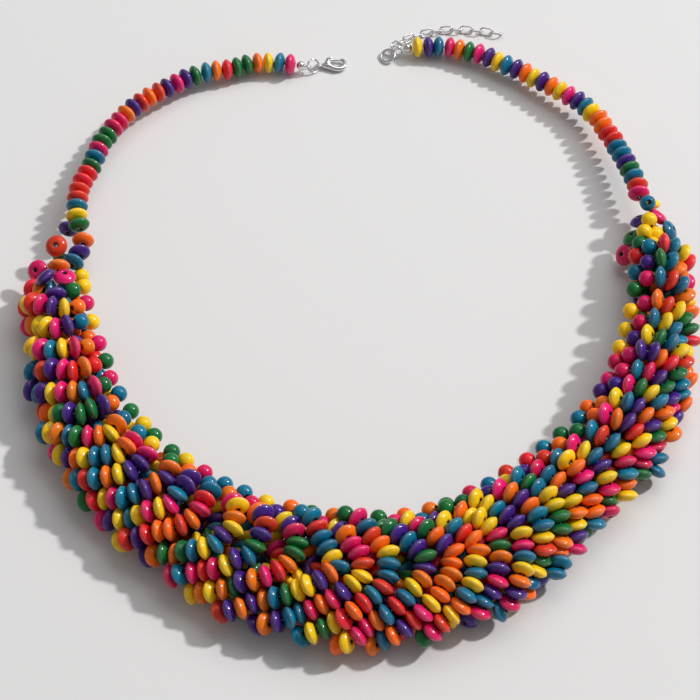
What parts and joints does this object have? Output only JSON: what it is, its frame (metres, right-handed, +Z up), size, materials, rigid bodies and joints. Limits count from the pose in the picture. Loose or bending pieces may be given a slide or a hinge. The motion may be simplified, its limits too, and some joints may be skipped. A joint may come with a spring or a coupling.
{
  "type": "beaded necklace",
  "caption": "Statement necklace of painted wooden beads: a thick bib collar of bead rows with single strings, a lobster clasp and a ring with an extender chain, laid out open.",
  "frame": {"origin": "middle of the necklace's bounding box, on the table that it lies on", "axes": "+Z up from the table, -Y towards the front of the collar, +X towards the side with the end ring and the extender chain"},
  "size_m": [0.2386, 0.264, 0.0249],
  "materials": {
    "collar_left_beads": "glossy painted wooden beads in seven colours",
    "collar_right_beads": "glossy painted wooden beads in seven colours",
    "left_string_beads": "glossy painted wooden beads in seven colours",
    "right_string_beads": "glossy painted wooden beads in seven colours",
    "silver_metal": "polished silver-tone plating"
  },
  "bodies": {
    "necklace": {"collar_left": "collar_left_beads", "collar_right": "collar_right_beads", "left_string": "left_string_beads", "right_string": "right_string_beads", "bead_tip_left": "silver_metal", "bead_tip_right": "silver_metal", "clasp_jump_ring": "silver_metal", "clasp_body": "silver_metal", "end_ring": "silver_metal", "chain_jump_ring": "silver_metal", "chain_link_01": "silver_metal", "chain_link_02": "silver_metal", "chain_link_03": "silver_metal", "chain_link_04": "silver_metal", "chain_link_05": "silver_metal", "chain_link_06": "silver_metal", "chain_link_07": "silver_metal", "chain_link_08": "silver_metal", "chain_link_09": "silver_metal", "chain_link_10": "silver_metal", "chain_link_11": "silver_metal", "chain_link_12": "silver_metal"},
    "lever": {"clasp_lever": "silver_metal"}
  },
  "joints": [
    {"name": "lever_swing", "type": "hinge", "parent": "necklace", "child": "lever", "pos_m": [-0.01085, 0.11505, 0.0013], "axis": [0, 0, -1], "range_deg": [0, 20], "stiffness_Nm_per_rad": 0.002}
  ]
}
